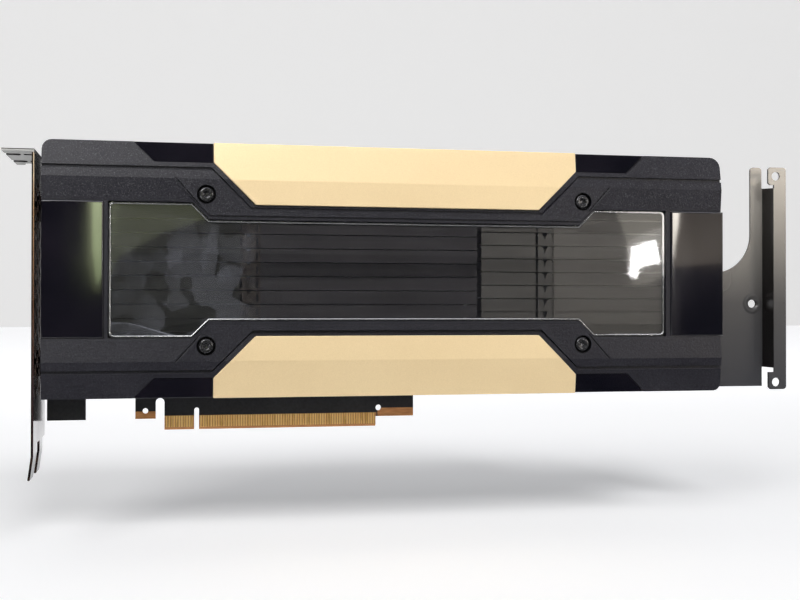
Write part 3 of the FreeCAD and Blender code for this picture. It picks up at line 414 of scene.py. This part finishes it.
def black_board():
    """Black solder mask with sunk tracks, and laminate left bare at the lower edge.

    Bare are the two tabs beside the contacts, below 7.4 mm and not as far as the
    heel, and the contacts' own tongue below 5.6 mm."""
    f = Finish("black_board", 0.34, Specular_IOR_Level=0.5)
    x, z = f.axis("X"), f.axis("Z")
    mask = f.ramp(f.noise(900, 2.0), (0.3, (0.013, 0.013, 0.016)), (0.7, (0.023, 0.023, 0.027)))
    bare = f.ramp(f.noise(1200, 3.0, where=f.stretch((0.2, 1, 1))),
                  (0.3, (0.46, 0.18, 0.048)), (0.7, (0.64, 0.29, 0.090)))
    tabs = f.add(f.span(x, -0.0149, -0.0151), f.span(x, 0.0733, 0.0735))
    heel = f.span(x, -0.0300, -0.0302)
    tabs = f.times(tabs, f.span(z, 0.00745, 0.00735), f.less(1.0, heel))
    tongue = f.times(f.span(z, 0.0057, 0.0055),
                     f.span(x, -0.0130, -0.0128), f.span(x, 0.0730, 0.0728))
    f.put("Base Color", f.blend(f.calc("ADD", tabs, tongue, clamp=True), mask, bare))
    tracks = f.nodes.new("ShaderNodeTexBrick")
    tracks.inputs["Scale"].default_value = 260
    tracks.inputs["Mortar Size"].default_value = 0.06
    f.link(f.stretch(turn=(90, 45, 0)), tracks.inputs["Vector"])
    f.worn(f.noise(50, 2.0), 0.28, 0.42)
    f.bump(tracks.outputs["Fac"], 0.00004, 0.25)
    return f.mat


def contact_gold():
    """Gold plating of the contacts, rubbed along their length."""
    f = Finish("contact_gold", 0.3, metal=0.2)
    rub = f.noise(1500, 3.0, where=f.stretch((1, 1, 0.06)))
    f.put("Base Color", f.ramp(rub, (0.3, (0.90, 0.52, 0.14)), (0.7, (1.0, 0.71, 0.27))))
    f.worn(rub, 0.24, 0.4)
    f.bump(rub, 0.00002, 0.4)
    return f.mat


def tail_steel():
    """Painted steel with a soft orange-peel, and painted light in its colour: dark and
    bluish below, warm grey above, as if lit from above.

    The wall of the step, which faces the card, is painted almost black as painted shade."""
    f = Finish("tail_steel", 0.26, metal=0.3)
    peel, drift = f.noise(1300, 2.0), f.noise(16, 2.0)
    # Painted light: the colour runs from dark below to warm grey above, as if lit from above.
    height = f.weighed((f.axis("Z"), 9.0), (drift, 0.12))
    sheet = f.ramp(height, (0.20, (0.045, 0.045, 0.050)), (0.52, (0.060, 0.058, 0.058)),
                   (0.78, (0.190, 0.178, 0.161)), (1.0, (0.330, 0.308, 0.275)))
    # Painted shade: the step's wall, which faces the card, is darkened almost to black.
    black = f.ramp(peel, (0.3, (0.006, 0.005, 0.005)), (0.7, (0.013, 0.010, 0.010)))
    step = f.times(f.span(f.facing("X"), -0.35, -0.6), f.span(f.axis("X"), 0.2405, 0.2415))
    f.put("Base Color", f.blend(step, sheet, black))
    f.worn(drift, 0.24, 0.29)
    f.bump(peel, 0.00002, 0.3)
    return f.mat


def rim_bead():
    """Clear bead on the window's edge, with a pale painted highlight along its upper right."""
    f = Finish("rim_bead", 0.17, metal=0.85)
    flow = f.noise(700, 3.0)
    # Painted highlight: the bead's upper right is made pale and matt so it reads as a bright line.
    painted_highlight = f.times(f.span(f.axis("X"), 0.150, 0.184, smooth=True),
                     f.span(f.axis("Z"), 0.056, 0.074, smooth=True))
    clear = f.ramp(flow, (0.35, (0.34, 0.345, 0.35)), (0.65, (0.44, 0.445, 0.45)))
    f.put("Base Color", f.blend(painted_highlight, clear, (0.80, 0.76, 0.72)))
    f.put("Metallic", f.span(painted_highlight, 0.0, 1.0, 0.85, 0.1))
    f.put("Roughness", f.add(f.span(flow, 0.35, 0.65, 0.10, 0.25), f.times(painted_highlight, 0.2)))
    f.bump(flow, 0.00004, 0.4)
    return f.mat


def black_screw():
    """Black-oxide steel of the socket screws, with fine turning marks."""
    f = Finish("black_screw", 0.2, metal=0.8)
    turned = f.noise(1600, 3.0)
    f.put("Base Color", f.ramp(turned,
                               (0.35, (0.045, 0.045, 0.048)), (0.65, (0.085, 0.085, 0.090))))
    f.worn(turned, 0.14, 0.26)
    f.bump(turned, 0.00003, 0.5)
    return f.mat


def plain_steel():
    """Bright steel with brush lines along the card."""
    f = Finish("plain_steel", 0.3, metal=1.0)
    brush = f.noise(800, 3.0, where=f.stretch((0.03, 1, 1)))
    f.put("Base Color", f.ramp(brush, (0.3, (0.46, 0.46, 0.47)), (0.7, (0.60, 0.60, 0.61))))
    f.worn(brush, 0.24, 0.42)
    f.bump(brush, 0.00003, 0.4)
    return f.mat


def backplate_black():
    """Black powder coat on the plate behind the board."""
    f = Finish("backplate_black", 0.46)
    coat, drift = f.noise(1100, 2.0), f.noise(18, 3.0)
    f.put("Base Color", f.ramp(drift, (0.3, (0.012, 0.012, 0.013)), (0.7, (0.022, 0.022, 0.024))))
    f.worn(drift, 0.38, 0.54)
    f.bump(coat, 0.00005, 0.5)
    return f.mat


def moulded_small(name, dark, light, rough, metal=0.0, scale=1800):
    """Small moulded or cast part: two shades of one colour in a fine grain."""
    f = Finish(name, rough, metal)
    grain = f.noise(scale, 3.0)
    f.put("Base Color", f.ramp(grain, (0.35, dark), (0.65, light)))
    f.worn(grain, rough - 0.07, rough + 0.08)
    f.bump(grain, 0.00004, 0.4)
    return f.mat


FINISH = {
    "board": black_board(), "contact_gold": contact_gold(), "bracket_steel": bracket_steel(),
    "shroud_plastic": moulded_shroud(), "gold_anodised": gold_anodised(),
    "gloss_black": gloss_inlay(), "clear_sheet": clear_window(), "black_screw": black_screw(),
    "cooler_metal": cooler_metal(), "fin_metal": fin_metal(), "plain_steel": plain_steel(),
    "backplate_black": backplate_black(), "tail_steel": tail_steel(), "rim_bead": rim_bead(),
}
for name, *look in (
    ("substrate", (0.012, 0.05, 0.018), (0.022, 0.085, 0.03), 0.4),
    ("silicon", (0.20, 0.21, 0.24), (0.27, 0.28, 0.31), 0.2, 0.8, 300),
    ("choke_grey", (0.05, 0.05, 0.052), (0.09, 0.09, 0.092), 0.65),
    ("pad_grey", (0.30, 0.31, 0.34), (0.38, 0.39, 0.42), 0.75),
    ("chip_black", (0.010, 0.010, 0.010), (0.020, 0.020, 0.020), 0.6),
    ("capacitor_case", (0.20, 0.13, 0.03), (0.30, 0.20, 0.06), 0.5),
    ("connector_black", (0.008, 0.008, 0.008), (0.016, 0.016, 0.016), 0.5),
):
    FINISH[name] = moulded_small(name, *look)
SLOT_OF = {s["node"]: s["material_slot"] for s in frame["record"]["subparts"]}


# Pieces

def paint(obj, slot):
    obj.data.materials.clear()
    obj.data.materials.append(FINISH[slot])


def smoothed(mesh):
    mesh.polygons.foreach_set("use_smooth", np.ones(len(mesh.polygons), dtype=bool))


def rolled(obj, width, steps, angle):
    """Edges sharper than an angle in degrees rolled to a width in millimetres.

    Shading follows each point's largest faces, so flats stay flat between edges."""
    bevel = obj.modifiers.new("rolled_edges", "BEVEL")
    bevel.width = width * MM
    bevel.segments = steps
    bevel.limit_method = "ANGLE"
    bevel.angle_limit = math.radians(angle)
    shading = obj.modifiers.new("flat_faces", "WEIGHTED_NORMAL")
    shading.mode = "FACE_AREA"
    shading.weight = 100
    shading.keep_sharp = False


def softened(node, width, name=None, steps=3):
    """A CAD node's own surface with its sharp edges rolled to a small radius."""
    mesh = frame["nodes"][node].data.copy()
    bm = bmesh.new()
    bm.from_mesh(mesh)
    bmesh.ops.remove_doubles(bm, verts=bm.verts, dist=MERGE)
    bmesh.ops.dissolve_limit(bm, angle_limit=math.radians(0.6), verts=bm.verts, edges=bm.edges)
    bmesh.ops.recalc_face_normals(bm, faces=bm.faces)
    bm.to_mesh(mesh)
    bm.free()
    smoothed(mesh)
    mesh.name = name or node + "_dressed"
    obj = bpy.data.objects.new(mesh.name, mesh)
    scene.collection.objects.link(obj)
    rolled(obj, width, steps, 3.0)
    paint(obj, SLOT_OF[node])
    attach(obj, "root")
    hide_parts(node)


def grid_mesh(name, points, ring=False, capped=False):
    """Mesh of an (m, n, 3) grid of points in millimetres.

    Neighbouring points along both directions share faces; ring joins the last
    column to the first, and capped closes the first and last rows, which have
    been drawn in to a pole."""
    m, n = points.shape[:2]
    index = np.arange(m * n).reshape(m, n)
    right = np.roll(index, -1, axis=1) if ring else index
    a = index[:-1] if ring else index[:-1, :-1]
    b = right[:-1] if ring else index[:-1, 1:]
    c = right[1:] if ring else index[1:, 1:]
    d = index[1:] if ring else index[1:, :-1]
    faces = np.stack([a, b, c, d], axis=-1).reshape(-1, 4)
    mesh = bpy.data.meshes.new(name)
    mesh.from_pydata((points.reshape(-1, 3) * MM).tolist(), [], faces.tolist())
    bm = bmesh.new()
    bm.from_mesh(mesh)
    bmesh.ops.remove_doubles(bm, verts=bm.verts, dist=MERGE)
    if capped:
        bmesh.ops.recalc_face_normals(bm, faces=bm.faces)
    bm.to_mesh(mesh)
    bm.free()
    smoothed(mesh)
    return mesh


def add_piece(name, mesh, slot, *nodes):
    """New piece on the card's one body, which may stand for CAD nodes."""
    obj = bpy.data.objects.new(name, mesh)
    scene.collection.objects.link(obj)
    paint(obj, slot)
    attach(obj, "root")
    if nodes:
        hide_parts(*nodes)
    return obj


def pan_head(centre, radius, height, socket, depth, out):
    """Grid of a domed screw head with a six-sided socket, seen from its axis.

    Every ring holds a radius and a level: the skirt, the rounded shoulder as a
    quarter ellipse, the crown, then the socket's rim, wall and floor, whose
    radius is the apothem over the cosine of the angle from the nearest flat."""
    skirt, rounding = 0.45, 0.28
    rim, taper, chamfer = 1.12, 0.97, 0.08
    t = np.linspace(0, 2 * np.pi, 36, endpoint=False)
    turn = (t + np.pi / 6) % (np.pi / 3) - np.pi / 6
    hexagon = socket / np.cos(turn)
    s = np.linspace(0, 1, 6)[:, None] * np.pi / 2
    round_r = radius * (1 - rounding + rounding * np.cos(s)) + 0 * t
    round_h = height * (skirt + (1 - skirt) * np.sin(s)) + 0 * t
    one = np.ones_like(t)
    rings_r = np.vstack([0 * one, radius * one, round_r,
                         hexagon * rim, hexagon, hexagon * taper, 0 * one])
    rings_h = np.vstack([0 * one, 0 * one, round_h, height * one, (height - chamfer) * one,
                         (height - depth) * one, (height - depth) * one])
    x = centre[0] + rings_r * np.cos(t)
    z = centre[2] + rings_r * np.sin(t)
    y = centre[1] + out * rings_h
    return np.stack([x, y, z], axis=-1)


def screws(name, node, slot, centres, **head):
    """All heads of one kind as a single mesh of closed grids."""
    bm = bmesh.new()
    for centre in centres:
        piece = grid_mesh(name, pan_head(centre, **head), ring=True, capped=True)
        bm.from_mesh(piece)
        bpy.data.meshes.remove(piece)
    mesh = bpy.data.meshes.new(name)
    bmesh.ops.recalc_face_normals(bm, faces=bm.faces)
    bm.to_mesh(mesh)
    bm.free()
    smoothed(mesh)
    rolled(add_piece(name, mesh, slot, node), 0.06, 2, 35)


def window_path(inset):
    """Closed path along the window's edge, in millimetres from its middle.

    The corner points of one quarter are mirrored into the others; the outer
    corners are quarter circles, the bends of the side lugs stay sharp. An inset
    moves a bend inwards, and along by the half-angle's tangent of 0.41."""
    bow, mitre = 1.6, 0.41 * inset
    t = np.linspace(0, np.pi / 2, 6)
    corner = np.stack([WINDOW_X - inset - bow + bow * np.cos(t),
                       WINDOW_Z - inset - bow + bow * np.sin(t)], axis=-1)
    bends = np.array([[78.8 + mitre, WINDOW_Z - inset], [72.5 + mitre, 19.0 - inset]])
    quarter = np.vstack([corner, bends])
    upper = np.vstack([quarter, quarter[::-1] * (-1, 1)])
    return np.vstack([upper, upper[::-1] * (1, -1)])


def outward_normals(path):
    """Unit mitre normals of a counter-clockwise closed path."""
    edge = np.roll(path, -1, axis=0) - path
    edge /= np.linalg.norm(edge, axis=1)[:, None]
    mean = edge + np.roll(edge, 1, axis=0)
    mean /= np.linalg.norm(mean, axis=1)[:, None]
    return np.stack([mean[:, 1], -mean[:, 0]], axis=-1)


def swept(path, section):
    """Grid of a section carried along a closed path in the X-Z plane.

    Each path point takes the section's first number along the mean of its two
    neighbouring edges' outward normals, and the second along Y."""
    outward = outward_normals(path)
    x = path[:, 0][:, None] + outward[:, 0][:, None] * section[:, 0]
    z = path[:, 1][:, None] + outward[:, 1][:, None] * section[:, 0]
    y = np.broadcast_to(section[:, 1], x.shape)
    return np.stack([x, y, z], axis=-1)


def window_rim():
    """Half-round bead on the window's edge: an elliptic section along its outline."""
    half, root = 0.42, WINDOW_FRONT + 0.02
    t = np.linspace(0, np.pi, 9)
    section = np.stack([half * np.cos(t), root - half * np.sin(t)], axis=-1)
    rim = swept(window_path(0.62), section) + (MID_X, 0, MID_Z)
    add_piece("window_rim", grid_mesh("window_rim", np.concatenate([rim, rim[:1]])), "rim_bead")


def hole_ring():
    """Raised ring round the tail bracket's hole: a profile turned about the hole's axis.

    The profile climbs a slope from the sheet to a crest and falls in a steeper
    one into the hole."""
    hole_x, hole_z = 242.0, 50.6
    r = np.array([4.6, 4.4, 4.1, 3.8, 3.5, 3.25, 3.0, 2.7, 2.4, 2.1, 1.85, 1.78, 1.78])
    up = np.array([0.0, 0.03, 0.14, 0.27, 0.34, 0.35, 0.32, 0.22, 0.06, -0.12, -0.26, -0.4, -0.9])
    t = np.linspace(0, 2 * np.pi, 48, endpoint=False)
    x = hole_x + r[:, None] * np.cos(t)
    z = hole_z + r[:, None] * np.sin(t)
    y = BOARD_REAR - np.broadcast_to(up[:, None], x.shape)
    mesh = grid_mesh("hole_ring", np.stack([x, y, z], axis=-1), ring=True)
    add_piece("hole_ring", mesh, "tail_steel")


for node, obj in frame["nodes"].items():
    paint(obj, SLOT_OF[node])

softened("shroud", 0.26, "shroud_shell")
for node in ("gold_panel_upper", "gold_panel_lower"):
    softened(node, 0.25)
for node in ("inlay_upper_left", "inlay_upper_right", "inlay_lower_left", "inlay_lower_right"):
    softened(node, 0.18)
for node in ("end_plate_left", "end_plate_right"):
    softened(node, 0.5, steps=4)
softened("io_bracket", 0.12, "slot_bracket")
softened("tail_bracket", 0.15, "tail_support")
softened("backplate", 0.15, "rear_plate")
softened("spring_plate", 0.15, "spring_cross")
softened("power_connector", 0.2, "power_inlet")
softened("cooler_base", 0.3, "cooler_slab")
softened("window_sheet", 0.2, "clear_window_sheet")

window_rim()
hole_ring()

seats = [(MID_X + a * SEAT_X, -33.1, MID_Z + c * SEAT_Z) for a in (1, -1) for c in (1, -1)]
screws("shroud_screw_heads", "shroud_screws", "black_screw", seats,
       radius=2.8, height=1.4, socket=1.15, depth=0.8, out=-1)
springs = [(72 + a, 1.785, 62 + c) for a in (-30, 30) for c in (-30, 30)]
screws("spring_screw_heads", "spring_screws", "plain_steel", springs,
       radius=2.6, height=1.6, socket=1.1, depth=0.9, out=1)
bosses = [(x, 2.4, z) for x in (-27, 60, 176) for z in (24, 101)]
screws("backplate_screw_heads", "backplate_screws", "black_screw", bosses,
       radius=2.4, height=1.0, socket=1.0, depth=0.6, out=1)
ears = [(-52.5, BOARD_REAR, z) for z in (27, 87)]
screws("bracket_screw_heads", "bracket_screws", "plain_steel", ears,
       radius=2.4, height=1.3, socket=1.0, depth=0.7, out=1)


# Studio

def plain_stage(name, corners, mat):
    """One flat sheet of the surroundings through its corners, in metres."""
    mesh = bpy.data.meshes.new(name)
    mesh.from_pydata(corners, [], [tuple(range(len(corners)))])
    obj = bpy.data.objects.new(name, mesh)
    scene.collection.objects.link(obj)
    mesh.materials.append(mat)
    return obj


def backdrop(name, colour, glow, far=1.0):
    """Pale matt surface; the camera, gloss and clear parts see it lifted by a glow,
    which grows to far times its strength a metre behind the card."""
    f = Finish(name, 0.9, Specular_IOR_Level=0.1)
    for socket in ("Base Color", "Emission Color"):
        f.shader.inputs[socket].default_value = (*colour, 1)
    ray = f.nodes.new("ShaderNodeLightPath").outputs
    seen = f.most(f.most(ray["Is Camera Ray"], ray["Is Glossy Ray"]), ray["Is Transmission Ray"])
    f.put("Emission Strength", f.times(seen, f.span(f.axis("Y"), 0.05, 1.0, glow, glow * far)))
    return f.mat


def lamp(name, at, to, size, power, colour=(1, 1, 1)):
    """Square soft lamp at one point, aimed at another."""
    data = bpy.data.lights.new(name, "AREA")
    data.energy = power
    data.color = colour
    data.size = size
    obj = bpy.data.objects.new(name, data)
    scene.collection.objects.link(obj)
    obj.location = at
    obj.rotation_mode = "QUATERNION"
    obj.rotation_quaternion = (Vector(to) - Vector(at)).to_track_quat("-Z", "Y")
    return obj


def gloss_card(name, corners, low, high, power=1.0):
    """Card of the dim room that only mirror-like surfaces show, shaded upwards."""
    f = Finish(name, 0.5)
    heights = [c[2] for c in corners]
    glow = f.nodes.new("ShaderNodeEmission")
    glow.inputs["Strength"].default_value = power
    shade = f.span(f.axis("Z"), min(heights), max(heights), smooth=True)
    f.link(f.blend(shade, low, high), glow.inputs["Color"])
    f.surface(glow.outputs[0])
    obj = plain_stage(name, corners, f.mat)
    obj.visible_camera = obj.visible_diffuse = obj.visible_shadow = False
    obj.visible_transmission = obj.visible_volume_scatter = False


plain_stage("table_top", [(-8, -4, FLOOR), (8, -4, FLOOR), (8, 5.6, FLOOR), (-8, 5.6, FLOOR)],
            backdrop("table_white", (0.84, 0.84, 0.85), 0.20, 3.8))
plain_stage("wall", [(-8, 5.6, FLOOR), (8, 5.6, FLOOR), (8, 5.6, 7), (-8, 5.6, 7)],
            backdrop("wall_grey", (0.70, 0.695, 0.69), 0.71))

lamp("front_left", (-0.78, -1.8, 1.25), (0.05, 0, 0.05), 0.8, 24, (1.0, 0.99, 0.97))
lamp("front", (0.32, -1.98, 1.28), (0.08, 0, 0.05), 0.6, 38).visible_glossy = False

world = bpy.data.worlds.new("room")
scene.world = world
world.use_nodes = True
sky = world.node_tree.nodes["Background"]
sky.inputs["Color"].default_value = (0.96, 0.975, 1.0, 1)
sky.inputs["Strength"].default_value = 0.36

# Camera: place and lens worked out from the contacts' pitch and the bracket's height
EYE = Vector((-0.00989, -0.46733, 0.04804))
YAW, RISE, ROLL = 0.1962, 0.0080, 0.0009
FOCAL, FRAME_W, FRAME_H, SENSOR = 1148.6938, 800.0, 600.0, 36.0
ahead = Vector((math.sin(YAW) * math.cos(RISE), math.cos(YAW) * math.cos(RISE), math.sin(RISE)))
right = Vector((math.cos(YAW), -math.sin(YAW), 0))
up = right.cross(ahead)
lens = bpy.data.cameras.new("photo_view")
lens.sensor_width = SENSOR
lens.lens = FOCAL * SENSOR / FRAME_W
lens.clip_start, lens.clip_end = 0.02, 40
cam = bpy.data.objects.new("photo_view", lens)
scene.collection.objects.link(cam)
turn = Matrix((right, up, -ahead)).transposed().to_4x4()
cam.matrix_world = Matrix.Translation(EYE) @ turn @ Matrix.Rotation(ROLL, 4, "Z")
scene.camera = cam


def mirrored(px, py, far):
    """Where the line of sight through a point of the 800 by 600 frame goes, once
    the window's front has turned it back, at a distance far in front of it."""
    line = ahead * FOCAL + right * (px - FRAME_W / 2) - up * (py - FRAME_H / 2)
    hit = EYE + line * ((WINDOW_FRONT * MM - EYE.y) / line.y)
    return tuple(hit + Vector((line.x, -line.y, line.z)) * (far / line.y))


def seen_card(name, outline, far, low, high, power=1.0):
    """Card seen in the window inside an outline given in points of the frame."""
    gloss_card(name, [mirrored(px, py, far) for px, py in outline], low, high, power)


NIGHT, DUSK = (0.004, 0.004, 0.008), (0.020, 0.020, 0.026)
on_table = FLOOR + 0.001
gloss_card("dim_room", [(-5, -3.2, -0.6), (6, -3.2, -0.6), (6, -3.2, 2.3), (-5, -3.2, 2.3)],
           NIGHT, DUSK)
gloss_card("table_edge", [(-0.12, -0.10, on_table), (6, -0.10, on_table),
                          (6, -3.2, on_table), (-0.6, -3.2, on_table)],
           NIGHT, (0.006, 0.006, 0.010))
seen_card("green_pane", [(86, 150), (260, 150), (214, 216), (160, 234),
                         (118, 258), (104, 290), (94, 294), (86, 262)],
          2.0, (0.72, 0.78, 0.42), (1.20, 1.30, 0.78))
seen_card("green_edge", [(92, 150), (105, 150), (105, 270), (97, 286), (92, 250)],
          1.9, (4.2, 5.0, 2.7), (7.4, 8.4, 5.0))
seen_card("green_sheen", [(105, 150), (119, 150), (117, 232), (109, 250), (105, 250)],
          1.9, (1.2, 1.35, 0.8), (2.4, 2.6, 1.6))
seen_card("beige_room", [(552, 150), (668, 150), (668, 268), (664, 345), (552, 345)],
          2.1, (0.62, 0.57, 0.51), (0.95, 0.87, 0.78))
seen_card("plate_room", [(668, 150), (800, 150), (800, 256), (668, 268)],
          2.1, (1.0, 0.86, 0.70), (0.28, 0.23, 0.18))
seen_card("beige_pane", [(596, 150), (668, 150), (668, 258), (650, 268), (630, 252)],
          2.0, (3.0, 2.8, 2.4), (3.6, 3.35, 2.95))
seen_card("beige_streak", [(669, 150), (680, 150), (677, 225), (672, 258), (669, 258)],
          1.8, (12.0, 11.2, 10.0), (24.0, 22.4, 20.0))
seen_card("glare_halo", [(626, 243), (646, 232), (664, 226), (664, 276), (648, 284), (632, 286)],
          1.95, (2.6, 2.4, 2.1), (6.4, 6.0, 5.5))
seen_card("lamp_glare", [(632, 248), (655, 240), (660, 262), (640, 266), (636, 277), (630, 276)],
          1.9, (1, 1, 1), (1, 1, 1), 60.0)
seen_card("warm_light", [(735, 40), (1500, 40), (1500, 280), (735, 290)],
          2.6, (0.5, 0.47, 0.42), (8.5, 7.7, 6.7))
gloss_card("left_dark", [(-3, -3.2, FLOOR), (-3, 1.2, FLOOR), (-3, 1.2, 2.3), (-3, -3.2, 2.3)],
           NIGHT, DUSK)
gloss_card("right_strip", [(2.6, -0.9, 0.1), (2.6, -1.3, 0.1), (2.6, -1.3, 1.4), (2.6, -0.9, 1.4)],
           (2.0, 1.95, 1.85), (4.0, 3.9, 3.7))
gloss_card("ceiling_strip", [(-2.2, -1.5, 2.4), (2.0, -1.5, 2.4),
                             (2.0, -0.2, 2.5), (-2.2, -0.2, 2.5)],
           (3.4, 3.4, 3.6), (3.4, 3.4, 3.6))

scene.view_settings.view_transform = "Standard"

bpy.context.view_layer.update()
